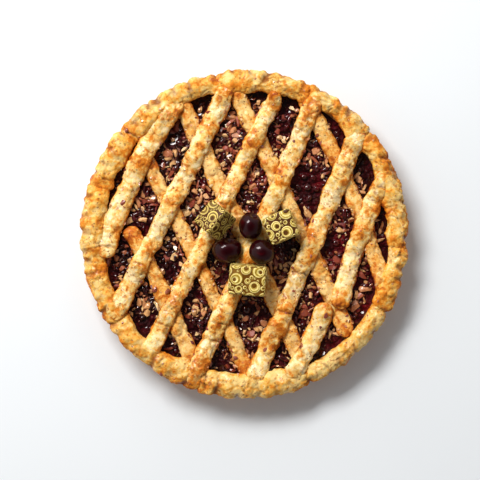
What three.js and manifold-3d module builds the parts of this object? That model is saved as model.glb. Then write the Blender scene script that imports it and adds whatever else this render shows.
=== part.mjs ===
// A bramble linzer torte: a nutty pastry case filled with dark jam and chopped nuts, closed by a
// lattice of hand-rolled dough and a rolled rim, with printed chocolates and cherries in the middle.
// Millimetres, +Z up. The origin is the centre of the case's flat underside. +Y is the back.
import * as THREE from "three";
import { RoundedBoxGeometry } from "three/addons/geometries/RoundedBoxGeometry.js";
import { mergeVertices } from "three/addons/utils/BufferGeometryUtils.js";
import Module from "manifold-3d";

const wasm = await Module();
wasm.setup();

// Clearance between neighbouring pieces
const GAP = 0.3;

// Pastry case
const CASE_FOOT_RADIUS = 124;
const CASE_LIP_RADIUS = 127.5;
const CASE_HEIGHT = 19;
const CASE_FLOOR = 7;
const CASE_WALL_INSIDE = 117;
const CASE_FLOOR_INSIDE = 114;
const CASE_SIDES = 60;
const CASE_LUMPS = 0.007;

// Jam filling and the chopped nuts on it
const JAM_TOP = 17;
const JAM_DIP = 0.9;
const JAM_LUMP_SCALE = 1.7;
const JAM_SIDES = 48;
const JAM_RINGS = [98, 76, 54, 30, 0];
const NUT_COUNT = 105;
const NUT_LARGEST = 3.9;
const NUT_SMALLEST = 2.5;
const NUT_REACH = 1.25;
const NUT_SINK = 0.1;
const NUT_SITES = 620;
const NUT_SPREAD = 112;
const NUT_SEED = 7;

// Rolled rim: where its rolls join, in degrees anticlockwise from +X
const RIM_RADIUS = 121;
const RIM_WIDTH = 19.6;
const RIM_HEIGHT = 13.6;
const RIM_OVERLAP = 3.5;
const RIM_STEP = 13;
const RIM_JOINTS = [-107, -66, -29, -5, 39, 66, 100, 140, 162, 214];

// Where the rim is slimmer on its inner side: middle and half spread in degrees, and by how much
const RIM_SLIM = [
  [-35, 22, 5.5], [-47, 16, 5.8], [-59, 15, 5.5], [-9, 13, 4.5], [6, 10, 3], [30, 12, 5], [54, 14, 6],
  [72, 10, 3.5], [82, 8, 3], [108, 12, 3.5], [-163, 14, 2.5], [-136, 10, 2.5], [-123, 9, 2.8],
];

// Dough rolls: share of the half height at which the underside is flat, and length of a rounded end
const FLAT_BELOW = 0.75;
const ROLL_HEIGHT = 10;
const ROLL_END = 4.5;
const ROLL_END_RINGS = 2;
const ROLL_SIDES = 8;
const ROLL_LUMPS = 0.07;

// Lattice: plan ends of each roll, how far it bows to its own right, and its width
const UNDER_ROLLS = [
  { from: [-93, 6], to: [-41, -103], bow: -2, width: 14.1 },
  { from: [-82, 66], to: [3.5, -113], bow: -2, width: 12.4 },
  { from: [-52, 106], to: [47, -105], bow: -1, width: 14.1 },
  { from: [-9, 117], to: [83, -82], bow: -1, width: 13.6 },
  { from: [46, 110], to: [112, -50], bow: -7, width: 13.1 },
];
const OVER_ROLLS = [
  { from: [-113, -19], to: [-52, 108], bow: -6, width: 16.6 },
  { from: [-105.5, -68], to: [-13, 117], bow: 1, width: 15.1 },
  { from: [-77, -96], to: [26, 113], bow: 1, width: 14.1 },
  { from: [-44, -120], to: [57, 110], bow: 2, width: 15.1 },
  { from: [6, -119], to: [91.5, 84], bow: 1, width: 16 },
  { from: [75, -60], to: [114.5, 50], bow: -4, width: 15.2 },
  { from: [34, -115.5], to: [65.5, -54.5], bow: 3.5, width: 15.4 },
];
const UNDER_STEP = 14;
const OVER_STEP = 9;
const OVER_CLEARANCE = 0.6;
const CROSSING_LIFT = 5;
const CROSSING_REACH = [4, 18];
const EDGE_REACH = [101, 114];
const UNDER_EDGE_LIFT = 2.4;
const OVER_EDGE_LIFT = 6.2;

// Toppings: plan centre, size, turn about +Z, lean about the piece's length and pitch about its width
const CHOCOLATE_ROUNDING = 2.6;
const CHOCOLATE_ROUNDING_STEPS = 2;
const CHOCOLATES = {
  chocolate_left: { at: [-22.9, 10.7], size: [22.2, 17.8, 21.5], turn: 51, lean: -32, pitch: -2 },
  chocolate_right: { at: [28.8, 5.6], size: [23, 22, 19], turn: 24, lean: -3, pitch: -6 },
  chocolate_front: { at: [2.2, -36], size: [28.8, 22.8, 19], turn: -4.5, lean: 6, pitch: 0 },
};
const CHERRIES = {
  cherry_back: { at: [4.8, 6.2], size: [18.4, 22, 18.5], turn: 0 },
  cherry_left: { at: [-13.6, -13], size: [24.1, 20.4, 18], turn: 6 },
  cherry_right: { at: [13.6, -14.2], size: [20.6, 19.4, 18], turn: -20 },
};
const CHERRY_SIDES = 14;
const CHERRY_RINGS = 10;
const CHERRY_STEM = [0.3, 0.8, 0.52];
const CHERRY_DIMPLE = 0.22;
const CHERRY_DIMPLE_SHARPNESS = 9;
const TOPPING_START = 40;
const SETTLE_STEPS = 12;

const PASTRY = new THREE.MeshStandardMaterial({ color: 0xe0a656, roughness: 0.62, metalness: 0 });
const JAM = new THREE.MeshStandardMaterial({ color: 0x3a0c16, roughness: 0.2, metalness: 0 });
const CHOCOLATE = new THREE.MeshStandardMaterial({ color: 0x8f8640, roughness: 0.4, metalness: 0.2 });
const CHERRY = new THREE.MeshStandardMaterial({ color: 0x2a0910, roughness: 0.12, metalness: 0 });

const torte = new THREE.Group();
torte.name = "bramble_linzer_torte";

// Seeded random numbers from 0 to 1
function randomFrom(seed) {
  let state = seed;
  return () => {
    state = (state * 1664525 + 1013904223) % 4294967296;
    return state / 4294967296;
  };
}

// Soft hand-made unevenness, from -1 to 1
function lump(x, y, z = 0) {
  const slow = Math.sin(0.21 * x + 1.3 * Math.sin(0.11 * y)) * Math.cos(0.19 * y - 0.3 * z);
  const quick = Math.sin(0.47 * y + 0.33 * z + 2.1) * Math.cos(0.43 * x - 0.9);
  return 0.6 * slow + 0.4 * quick;
}

const smoothstep = (low, high, value) => THREE.MathUtils.smoothstep(value, low, high);

// Solids and meshes

function solidFrom(geometry) {
  const bare = new THREE.BufferGeometry();
  bare.setAttribute("position", geometry.getAttribute("position"));
  bare.setIndex(geometry.getIndex());
  const merged = mergeVertices(bare, 1e-3);
  const corners = [];
  for (let i = 0; i < merged.index.count; i += 3) {
    const [a, b, c] = [0, 1, 2].map((k) => merged.index.getX(i + k));
    if (a !== b && b !== c && c !== a) corners.push(a, b, c);
  }
  const vertProperties = new Float32Array(merged.attributes.position.array);
  const triVerts = new Uint32Array(corners);
  return new wasm.Manifold(new wasm.Mesh({ numProp: 3, vertProperties, triVerts }));
}

function geometryFrom(solid) {
  const mesh = solid.getMesh();
  const geometry = new THREE.BufferGeometry();
  geometry.setAttribute("position", new THREE.BufferAttribute(new Float32Array(mesh.vertProperties), 3));
  geometry.setIndex(new THREE.BufferAttribute(new Uint32Array(mesh.triVerts), 1));
  geometry.computeVertexNormals();
  return geometry;
}

// The largest connected piece of a solid, without loose scraps
function largestPiece(solid) {
  const pieces = solid.decompose();
  return pieces.reduce((best, piece) => (piece.volume() > best.volume() ? piece : best));
}

function addSolid(name, solid, material) {
  const mesh = new THREE.Mesh(geometryFrom(solid), material);
  mesh.name = name;
  torte.add(mesh);
  return solid;
}

// Revolves a profile of [radius, height] points about +Z
function revolved(profile, sides) {
  const points = profile.map(([radius, height]) => new THREE.Vector2(radius, height));
  return new THREE.LatheGeometry(points, sides).rotateX(Math.PI / 2);
}

function moveVertices(geometry, move) {
  const position = geometry.getAttribute("position");
  const point = new THREE.Vector3();
  for (let i = 0; i < position.count; i++) {
    point.fromBufferAttribute(position, i);
    move(point);
    position.setXYZ(i, point.x, point.y, point.z);
  }
  return geometry;
}

// Pastry case

function caseSolid() {
  const profile = [
    [0, 0],
    [CASE_FOOT_RADIUS - 2, 0],
    [CASE_FOOT_RADIUS, 1.5],
    [CASE_FOOT_RADIUS + 1.5, 7],
    [CASE_LIP_RADIUS - 0.6, 13],
    [CASE_LIP_RADIUS, CASE_HEIGHT],
    [CASE_WALL_INSIDE, CASE_HEIGHT],
    [CASE_FLOOR_INSIDE, CASE_FLOOR],
    [0, CASE_FLOOR],
  ];
  const geometry = moveVertices(revolved(profile, CASE_SIDES), (p) => {
    const outside = Math.hypot(p.x, p.y) > CASE_FOOT_RADIUS - 1 && p.z > 1 && p.z < CASE_HEIGHT - 1;
    const swell = outside ? 1 + CASE_LUMPS * lump(p.x, p.y, p.z) : 1;
    p.set(p.x * swell, p.y * swell, p.z);
  });
  return solidFrom(geometry);
}

// Dough rolls. A route gives the centre of the roll at a share of its length.

function planPoint(roll, share) {
  const [from, to] = [new THREE.Vector2(...roll.from), new THREE.Vector2(...roll.to)];
  const along = to.clone().sub(from);
  const right = new THREE.Vector2(along.y, -along.x).normalize();
  return from.addScaledVector(along, share).addScaledVector(right, roll.bow * 4 * share * (1 - share));
}

function distanceTo(roll, x, y) {
  const target = new THREE.Vector2(x, y);
  let nearest = Infinity;
  for (let share = 0; share <= 1; share += 0.01) {
    nearest = Math.min(nearest, planPoint(roll, share).distanceTo(target));
  }
  return nearest;
}

// Half the height of a roll that lies flat side down
const restHeight = (FLAT_BELOW * ROLL_HEIGHT) / 2;

function underHeight(x, y) {
  return JAM_TOP + GAP + restHeight + UNDER_EDGE_LIFT * smoothstep(...EDGE_REACH, Math.hypot(x, y));
}

function overHeight(x, y) {
  const nearest = Math.min(...UNDER_ROLLS.map((roll) => distanceTo(roll, x, y)));
  const crossing = CROSSING_LIFT * (1 - smoothstep(...CROSSING_REACH, nearest));
  const edge = OVER_EDGE_LIFT * smoothstep(...EDGE_REACH, Math.hypot(x, y));
  return JAM_TOP + GAP + restHeight + OVER_CLEARANCE + Math.max(crossing, edge);
}

function latticeRoute(roll, heightAt, step) {
  const length = Math.hypot(roll.to[0] - roll.from[0], roll.to[1] - roll.from[1]);
  const at = (share) => {
    const point = planPoint(roll, share);
    return new THREE.Vector3(point.x, point.y, heightAt(point.x, point.y));
  };
  return { at, length, step };
}

// How far the rim's inner side draws back at a plan point
function rimSlimming(point) {
  const angle = THREE.MathUtils.radToDeg(Math.atan2(point.y, point.x));
  const cuts = RIM_SLIM.map(([middle, spread, cut]) => cut * smoothstep(-spread, 0, -Math.abs(angle - middle)));
  return Math.max(...cuts);
}

function rimRoute(start, end) {
  const height = CASE_HEIGHT + GAP + (FLAT_BELOW * RIM_HEIGHT) / 2;
  const overlap = THREE.MathUtils.radToDeg(RIM_OVERLAP / RIM_RADIUS);
  const at = (share) => {
    const angle = THREE.MathUtils.degToRad(THREE.MathUtils.lerp(start - overlap, end + overlap, share));
    return new THREE.Vector3(RIM_RADIUS * Math.cos(angle), RIM_RADIUS * Math.sin(angle), height);
  };
  const length = THREE.MathUtils.degToRad(end - start + 2 * overlap) * RIM_RADIUS;
  return { at, length, step: RIM_STEP, slimAt: rimSlimming };
}

// A roll of dough along a route, round above and flat below, grown outwards by grow
function rollSolid(route, width, height, grow) {
  const middle = route.length - 2 * ROLL_END;
  const steps = Math.ceil(middle / route.step);
  const capsule = new THREE.CapsuleGeometry(ROLL_END, middle, ROLL_END_RINGS, ROLL_SIDES, steps);
  const up = new THREE.Vector3(0, 0, 1);
  const bent = moveVertices(capsule, (p) => {
    const share = THREE.MathUtils.clamp(p.y / route.length + 0.5, 0, 1);
    const centre = route.at(share);
    const ahead = route.at(Math.min(share + 0.01, 1)).sub(route.at(Math.max(share - 0.01, 0)));
    const along = ahead.setZ(0).normalize();
    const side = new THREE.Vector3().crossVectors(along, up);
    const swell = 1 + ROLL_LUMPS * lump(centre.x, centre.y) + ROLL_LUMPS * lump(centre.y, centre.x, p.x);
    const slim = route.slimAt ? route.slimAt(centre) * smoothstep(-0.6, 1, -p.x / ROLL_END) : 0;
    const across = (p.x / ROLL_END) * (swell * width * 0.5 + grow) + slim;
    const rise = Math.max(p.z / ROLL_END, -FLAT_BELOW) * (height * 0.5 + grow / FLAT_BELOW);
    const past = grow * Math.sign(share - 0.5) * (share < 0.02 || share > 0.98 ? 1 : 0);
    p.copy(centre).addScaledVector(side, across).addScaledVector(up, rise).addScaledVector(along, past);
  });
  return solidFrom(bent);
}

const subtractAll = (solid, cutters) => cutters.reduce((left, cutter) => left.subtract(cutter), solid);

// Builds the lattice and the rim. Each piece is pressed against the ones made before it.
function buildRolls() {
  const underRoutes = UNDER_ROLLS.map((roll) => latticeRoute(roll, underHeight, UNDER_STEP));
  const overRoutes = OVER_ROLLS.map((roll) => latticeRoute(roll, overHeight, OVER_STEP));
  const underRoll = (route, i, grow) => rollSolid(route, UNDER_ROLLS[i].width, ROLL_HEIGHT, grow);
  const overRoll = (route, i, grow) => rollSolid(route, OVER_ROLLS[i].width, ROLL_HEIGHT, grow);
  const grownUnders = underRoutes.map((route, i) => underRoll(route, i, GAP));
  const grownOvers = overRoutes.map((route, i) => overRoll(route, i, GAP));
  const made = [];
  underRoutes.forEach((route, i) => {
    made.push(addSolid(`under_roll_${i + 1}`, underRoll(route, i, 0), PASTRY));
  });
  overRoutes.forEach((route, i) => {
    const cutters = [...grownUnders, ...grownOvers.slice(0, i)];
    const solid = largestPiece(subtractAll(overRoll(route, i, 0), cutters));
    made.push(addSolid(`over_roll_${i + 1}`, solid, PASTRY));
  });
  const grownRims = [];
  RIM_JOINTS.forEach((start, i) => {
    const end = i + 1 < RIM_JOINTS.length ? RIM_JOINTS[i + 1] : RIM_JOINTS[0] + 360;
    const route = rimRoute(start, end);
    const cutters = [...grownUnders, ...grownOvers, ...grownRims];
    const solid = largestPiece(subtractAll(rollSolid(route, RIM_WIDTH, RIM_HEIGHT, 0), cutters));
    grownRims.push(rollSolid(route, RIM_WIDTH, RIM_HEIGHT, GAP));
    made.push(addSolid(`rim_roll_${i + 1}`, solid, PASTRY));
  });
  return made;
}

// Jam with chopped nuts on it, in the open cells of the lattice

function jamSolid() {
  const slope = (CASE_WALL_INSIDE - CASE_FLOOR_INSIDE) / (CASE_HEIGHT - CASE_FLOOR);
  const wallAt = (height) => CASE_FLOOR_INSIDE - 2 * GAP + slope * (height - CASE_FLOOR);
  const rings = JAM_RINGS.map((radius) => [radius, JAM_TOP]);
  const floor = CASE_FLOOR + GAP;
  const profile = [[0, floor], [wallAt(floor), floor], [wallAt(JAM_TOP - 1), JAM_TOP - 1], ...rings];
  const geometry = moveVertices(revolved(profile, JAM_SIDES), (p) => {
    const share = 0.5 - 0.5 * lump(JAM_LUMP_SCALE * p.x, JAM_LUMP_SCALE * p.y);
    if (p.z > JAM_TOP - 0.5) p.z -= JAM_DIP * share;
  });
  return solidFrom(geometry);
}

// How far a plan point is from the nearest dough
function openSpace(x, y) {
  const rolls = [...UNDER_ROLLS, ...OVER_ROLLS];
  const toRolls = rolls.map((roll) => distanceTo(roll, x, y) - (roll.width * (1 + 2 * ROLL_LUMPS)) / 2);
  const toRim = RIM_RADIUS - (RIM_WIDTH * (1 + 2 * ROLL_LUMPS)) / 2 - Math.hypot(x, y);
  return Math.min(toRim, ...toRolls);
}

function nutSolid(radius, random) {
  const nut = new THREE.OctahedronGeometry(radius);
  nut.rotateX(0.5 * random()).rotateY(0.5 + 0.4 * random());
  nut.scale(1.2, 0.8 + 0.3 * random(), 0.75);
  return solidFrom(nut.rotateZ(2 * Math.PI * random()));
}

// The largest nuts come first, at sites of a sunflower spiral that have room for them
function jamWithNuts() {
  const random = randomFrom(NUT_SEED);
  const goldenAngle = Math.PI * (3 - Math.sqrt(5));
  const sites = [];
  for (let i = 0; i < NUT_SITES; i++) {
    const radius = NUT_SPREAD * Math.sqrt((i + 0.5) / NUT_SITES);
    const [x, y] = [radius * Math.cos(i * goldenAngle), radius * Math.sin(i * goldenAngle)];
    sites.push({ x, y, room: openSpace(x, y), draw: random() });
  }
  const roomy = sites.filter((site) => site.room > NUT_SMALLEST * NUT_REACH + GAP);
  const chosen = roomy.sort((a, b) => a.draw - b.draw).slice(0, NUT_COUNT);
  const nuts = chosen.map((site, i) => {
    const wanted = THREE.MathUtils.lerp(NUT_LARGEST, NUT_SMALLEST, i / NUT_COUNT);
    const radius = Math.min(wanted, (site.room - GAP) / NUT_REACH);
    return nutSolid(radius, random).translate([site.x, site.y, JAM_TOP - NUT_SINK * radius]);
  });
  return largestPiece(wasm.Manifold.union([jamSolid(), ...nuts]));
}

// Toppings, lowered until they rest on what is under them

function settledHeight(geometry, at, beneath) {
  const solid = solidFrom(geometry).translate([at[0], at[1], 0]);
  const touches = (height) => solid.translate([0, 0, height]).intersect(beneath).volume() > 0;
  let [low, high] = [JAM_TOP, JAM_TOP + TOPPING_START];
  for (let i = 0; i < SETTLE_STEPS; i++) {
    const middle = (low + high) / 2;
    if (touches(middle)) low = middle;
    else high = middle;
  }
  return high + GAP;
}

function addTopping(name, geometry, at, material, beneath) {
  const mesh = new THREE.Mesh(geometry, material);
  mesh.name = name;
  mesh.position.set(at[0], at[1], settledHeight(geometry, at, beneath));
  torte.add(mesh);
  return beneath.add(solidFrom(geometry).translate(mesh.position.toArray()));
}

function cherryGeometry({ size, turn }) {
  const ball = new THREE.SphereGeometry(1, CHERRY_SIDES, CHERRY_RINGS).rotateX(Math.PI / 2);
  const stem = new THREE.Vector3(...CHERRY_STEM);
  moveVertices(ball, (p) => {
    p.multiplyScalar(1 - CHERRY_DIMPLE * Math.exp(-CHERRY_DIMPLE_SHARPNESS * p.distanceToSquared(stem)));
  });
  ball.scale(size[0] / 2, size[1] / 2, size[2] / 2);
  return ball.rotateZ(THREE.MathUtils.degToRad(turn));
}

function chocolateGeometry({ size, turn, lean, pitch }) {
  const box = new RoundedBoxGeometry(...size, CHOCOLATE_ROUNDING_STEPS, CHOCOLATE_ROUNDING);
  box.rotateX(THREE.MathUtils.degToRad(lean));
  box.rotateY(THREE.MathUtils.degToRad(pitch));
  return box.rotateZ(THREE.MathUtils.degToRad(turn));
}

const crust = addSolid("pastry_case", caseSolid(), PASTRY);
const filling = addSolid("jam_filling", jamWithNuts(), JAM);
const rolls = buildRolls();
let beneath = wasm.Manifold.union([crust, filling, ...rolls]);
for (const [name, chocolate] of Object.entries(CHOCOLATES)) {
  beneath = addTopping(name, chocolateGeometry(chocolate), chocolate.at, CHOCOLATE, beneath);
}
for (const [name, cherry] of Object.entries(CHERRIES)) {
  beneath = addTopping(name, cherryGeometry(cherry), cherry.at, CHERRY, beneath);
}

export default torte;
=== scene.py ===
"""A bramble linzer torte: hand-rolled nut dough over dark jam, with printed chocolates and cherries.

Shapes are worked out in millimetres and written into the meshes in metres.
"""

import math
import random
from collections import namedtuple

import bmesh
import bpy
from mathutils import Matrix, Vector, noise
from mathutils.bvhtree import BVHTree
from mathutils.kdtree import KDTree


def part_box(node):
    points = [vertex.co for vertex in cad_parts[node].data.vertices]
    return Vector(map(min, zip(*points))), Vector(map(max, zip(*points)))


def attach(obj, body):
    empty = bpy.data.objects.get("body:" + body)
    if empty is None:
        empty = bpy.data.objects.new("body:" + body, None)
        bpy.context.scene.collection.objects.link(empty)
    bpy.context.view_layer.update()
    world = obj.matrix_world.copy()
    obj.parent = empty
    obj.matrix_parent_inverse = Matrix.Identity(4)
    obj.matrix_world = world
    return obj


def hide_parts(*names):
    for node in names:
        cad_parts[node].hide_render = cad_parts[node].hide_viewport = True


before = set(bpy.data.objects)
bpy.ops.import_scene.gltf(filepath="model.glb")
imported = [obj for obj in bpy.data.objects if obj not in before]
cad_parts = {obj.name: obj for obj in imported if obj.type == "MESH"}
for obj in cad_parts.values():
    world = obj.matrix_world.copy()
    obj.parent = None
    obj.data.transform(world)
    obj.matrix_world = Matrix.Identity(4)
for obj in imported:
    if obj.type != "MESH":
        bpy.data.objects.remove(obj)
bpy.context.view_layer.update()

MM = 0.001
UP = Vector((0, 0, 1))

# Unseeded, noise_vector starts from the clock, and every run would shape the dough differently
DOUGH_SEED = 7
noise.seed_set(DOUGH_SEED)

# Case and jam; the case's height comes from the frame
CASE_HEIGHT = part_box("pastry_case")[1][2] / MM
CASE_LIP_RADIUS = 127.5
CASE_FOOT_RADIUS = 124.0
CASE_FLOOR = 7.0
CASE_WALL_INSIDE = 117.0
CASE_FLOOR_INSIDE = 114.0
CASE_LUMPS = 0.007
CASE_STEPS = 620
CASE_WALL_CUTS = 18
CASE_LIP_CUTS = 6
JAM_TOP = 17.0
JAM_CELLS = 300
GAP = 0.3

# Rolled rim: where its rolls join, in degrees anticlockwise from +X
RIM_RADIUS = 121.0
RIM_WIDTH = 19.6
RIM_HEIGHT = 13.6
RIM_OVERLAP = 3.5
RIM_JOINTS = (-107, -66, -29, -5, 39, 66, 100, 140, 162, 214)

# Where the rim is slimmer on its inner side: middle and half spread in degrees, and by how much
RIM_SLIM = (
    (-35, 22, 5.5), (-47, 16, 5.8), (-59, 15, 5.5), (-9, 13, 4.5), (6, 10, 3), (30, 12, 5), (54, 14, 6),
    (72, 10, 3.5), (82, 8, 3), (108, 12, 3.5), (-163, 14, 2.5), (-136, 10, 2.5), (-123, 9, 2.8),
)

# Dough rolls
FLAT_BELOW = 0.75
ROLL_HEIGHT = 10.0
ROLL_END = 4.5
ROLL_LUMPS = 0.07
RING_STEP = 0.85
ROLL_SIDES = 56
RIM_SIDES = 72
END_TAPER = 7.0
PRESSED_END = 0.3

# Where the dough is baked paler, from none to all of it: plan y less half of x, in mm
PALE_FRONT = (-95.0, -135.0)

# Lattice: plan ends of each roll, how far it bows to its own right, and its width
UNDER_ROLLS = (
    {"from": (-93, 6), "to": (-41, -103), "bow": -2, "width": 14.1},
    {"from": (-82, 66), "to": (3.5, -113), "bow": -2, "width": 12.4},
    {"from": (-52, 106), "to": (47, -105), "bow": -1, "width": 14.1},
    {"from": (-9, 117), "to": (83, -82), "bow": -1, "width": 13.6},
    {"from": (46, 110), "to": (112, -50), "bow": -7, "width": 13.1},
)
OVER_ROLLS = (
    {"from": (-113, -19), "to": (-52, 108), "bow": -6, "width": 16.6},
    {"from": (-105.5, -68), "to": (-13, 117), "bow": 1, "width": 15.1},
    {"from": (-77, -96), "to": (26, 113), "bow": 1, "width": 14.1},
    {"from": (-44, -120), "to": (57, 110), "bow": 2, "width": 15.1},
    {"from": (6, -119), "to": (91.5, 84), "bow": 1, "width": 16},
    {"from": (75, -60), "to": (114.5, 50), "bow": -4, "width": 15.2},
    {"from": (34, -115.5), "to": (65.5, -54.5), "bow": 3.5, "width": 15.4},
)
OVER_CLEARANCE = 0.6
CROSSING_LIFT = 5.0
CROSSING_REACH = (4.0, 18.0)
EDGE_REACH = (101.0, 114.0)
UNDER_EDGE_LIFT = 2.4
OVER_EDGE_LIFT = 6.2

# Pixels of the photograph where a crack runs right across a roll
CRACK_PIXELS = (
    (345, 168), (292, 268), (287, 312), (219, 321), (164, 326), (337, 306), (178, 236), (300, 178),
    (365, 137), (398, 247), (385, 312), (128, 133), (104, 246), (205, 380), (330, 372),
)

# Chopped nuts: the largest lie where the solid has them
NUT_COUNT = 105
NUT_LARGEST = 3.9
NUT_SMALLEST = 2.5
NUT_REACH = 1.25
NUT_SITES = 620
NUT_SPREAD = 112.0
NUT_SEED = 7

# The smaller ones: sites, smallest and largest radius, how close they lie and detail of the pieces
NUT_LAYERS = (
    (5600, 1.7, 3.2, 0.52, 2),
    (5200, 0.9, 1.6, 0.5, 1),
    (5000, 0.4, 0.8, 0.6, 1),
)

# Pixels of the photograph with clear jam, and how far it reaches
BARE_SPOTS = (
    (308, 181, 20), (314, 201, 15), (287, 107, 11), (287, 128, 9), (340, 134, 11), (332, 120, 8),
    (365, 167, 11), (173, 141, 11), (199, 104, 12), (175, 264, 10), (168, 275, 7), (331, 243, 13),
    (381, 243, 9), (350, 294, 7), (373, 301, 8), (361, 321, 8), (112, 273, 8), (145, 322, 9), (192, 327, 9),
    (195, 294, 6), (218, 361, 9), (166, 343, 6), (248, 310, 9), (278, 352, 6), (322, 352, 7), (284, 249, 9),
    (357, 284, 8), (372, 281, 5),
)

# The largest nut pieces on the jam in the photograph: pixel, radius in mm and tone from cream to red
NUTS_SEEN = (
    (168, 154, 3.0, 0.66), (176, 127, 2.6, 0.8), (231, 118, 3.0, 0.5), (233, 130, 2.4, 0.55),
    (235, 141, 2.4, 0.35), (227, 149, 2.6, 0.8), (214, 166, 2.8, 0.4), (185, 213, 3.2, 0.15),
    (130, 221, 3.4, 0.2), (154, 200, 2.6, 0.6), (143, 193, 2.8, 0.5), (193, 204, 2.8, 0.85),
    (276, 127, 2.4, 0.9), (252, 175, 2.4, 0.62), (253, 187, 2.4, 0.6), (316, 151, 2.6, 0.55),
    (308, 158, 2.2, 0.4), (359, 178, 2.6, 0.4), (357, 188, 2.4, 0.75), (364, 188, 2.2, 0.35),
    (308, 214, 2.8, 0.35), (304, 222, 2.2, 0.6), (345, 207, 2.0, 0.4), (108, 262, 3.4, 0.7),
    (129, 260, 2.2, 0.4), (174, 257, 3.0, 0.15), (167, 258, 2.4, 0.78), (196, 309, 2.8, 0.2),
    (204, 314, 2.6, 0.5), (147, 306, 2.6, 0.4), (139, 303, 2.4, 0.45), (147, 314, 2.6, 0.35),
    (337, 261, 3.0, 0.82), (331, 266, 2.2, 0.85), (324, 261, 2.6, 0.7), (362, 275, 3.0, 0.8),
    (366, 289, 4.0, 0.55), (361, 296, 2.8, 0.7), (355, 306, 3.6, 0.6), (303, 312, 4.0, 0.85),
    (264, 323, 2.8, 0.6), (251, 333, 3.2, 0.78), (245, 351, 2.6, 0.6), (252, 356, 2.2, 0.5),
    (367, 258, 2.6, 0.4), (310, 296, 2.2, 0.35), (116, 287, 2.4, 0.8),
)

# Pixels with nut pieces in the dough, and their radii in mm
NUTS_IN_DOUGH = (
    (123, 203, 2.3), (155, 289, 2.4), (167, 291, 2.4), (301, 344, 2.4), (326, 315, 2.3), (236, 357, 2.0),
    (127, 131, 2.2), (257, 156, 1.2), (281, 177, 1.2), (262, 147, 1.4), (265, 349, 1.6), (310, 256, 1.5),
    (294, 142, 1.3), (162, 373, 1.6), (345, 326, 1.6), (293, 291, 1.4), (320, 327, 1.3), (286, 312, 1.6),
)
SMALL_NUTS_IN_DOUGH = 300

# Shares of the nuts: coated with jam, of the solid's and of the scattered ones, and slivers
SOLID_COATED_SHARE = 0.25
COATED_SHARE = 0.32
SLIVER_SHARE = 0.35

# Nut pieces tried along the flanks of the rolls
FLANK_NUTS = 5200

# Chocolates and cherries: size, turn about +Z, lean about the length and pitch about the width
CHOCOLATE_ROUNDING = 1.8
CHOCOLATES = {
    # The left chocolate takes darker copies of its print, as painted shade for its top turned to the main
    # light
    "chocolate_left": {"size": (22.2, 17.8, 21.5), "turn": 51, "lean": -32, "pitch": -2, "shaded_print": True},
    "chocolate_right": {"size": (23, 22, 19), "turn": 24, "lean": -3, "pitch": -6},
    "chocolate_front": {"size": (28.8, 22.8, 19), "turn": -4.5, "lean": 6, "pitch": 0},
}
CHERRIES = {
    "cherry_back": {"size": (18.4, 22, 18.5), "turn": 0},
    "cherry_left": {"size": (24.1, 20.4, 18), "turn": 6},
    "cherry_right": {"size": (20.6, 19.4, 18), "turn": -20},
}
CHERRY_STEM = Vector((0.3, 0.8, 0.52))
CHERRY_DIMPLE = 0.22
CHERRY_DIMPLE_SHARPNESS = 9

# The photograph's frame: pixels across, millimetres a pixel and where the torte's centre is
FRAME_PIXELS = 480
PIXEL = 0.8
TORTE_CENTRE_PIXEL = (244.5, 234.0)
CAMERA_DISTANCE = 1.2
SENSOR = 36.0

# The main light, in metres and watts
KEY_DIRECTION = Vector((-0.5, 0.75, 1.0))
KEY_DISTANCE = 1.6
KEY_SIZE = (0.84, 0.42)
KEY_WATTS = 29.5
KEY_TINT = (1.0, 0.98, 0.95)

# The sky: its strength from the far side of the light to the near one, its share overhead and its colour
SKY_AROUND = (0.32, 0.86)
SKY_OVERHEAD = 0.08
SKY_TINT = (1.0, 0.97, 0.95, 1.0)

# How far the floor reaches each way, in metres
FLOOR_REACH = 2.5


def smoothstep(low, high, value):
    share = min(1.0, max(0.0, (value - low) / (high - low)))
    return share * share * (3 - 2 * share)


def lump(x, y, z=0.0):
    """Soft hand-made unevenness, from -1 to 1."""
    slow = math.sin(0.21 * x + 1.3 * math.sin(0.11 * y)) * math.cos(0.19 * y - 0.3 * z)
    quick = math.sin(0.47 * y + 0.33 * z + 2.1) * math.cos(0.43 * x - 0.9)
    return 0.6 * slow + 0.4 * quick


def from_pixel(px, py):
    """The plan point, in mm, that a pixel of the photograph shows."""
    return (px - TORTE_CENTRE_PIXEL[0]) * PIXEL, (TORTE_CENTRE_PIXEL[1] - py) * PIXEL


# Pieces


def add_object(name, data):
    made = bpy.data.objects.new(name, data)
    bpy.context.scene.collection.objects.link(made)
    return made


def mesh_from(bm, name):
    """Turns a bmesh into a mesh, and frees it."""
    mesh = bpy.data.meshes.new(name)
    bm.to_mesh(mesh)
    bm.free()
    return mesh


def make_piece(name, bm, materials, nodes=()):
    """Turns a bmesh in mm into a piece in metres that rides on the root body."""
    bmesh.ops.scale(bm, vec=(MM, MM, MM), verts=bm.verts)
    for face in bm.faces:
        face.smooth = True
    piece = add_object(name, mesh_from(bm, name))
    for material in materials:
        piece.data.materials.append(material)
    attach(piece, "root")
    if nodes:
        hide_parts(*nodes)


def cut_away(bm, place, normal):
    """Takes off what lies beyond a plane."""
    bmesh.ops.bisect_plane(
        bm, geom=bm.verts[:] + bm.edges[:] + bm.faces[:], plane_co=place, plane_no=normal, clear_outer=True,
    )


# Shader building


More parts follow.
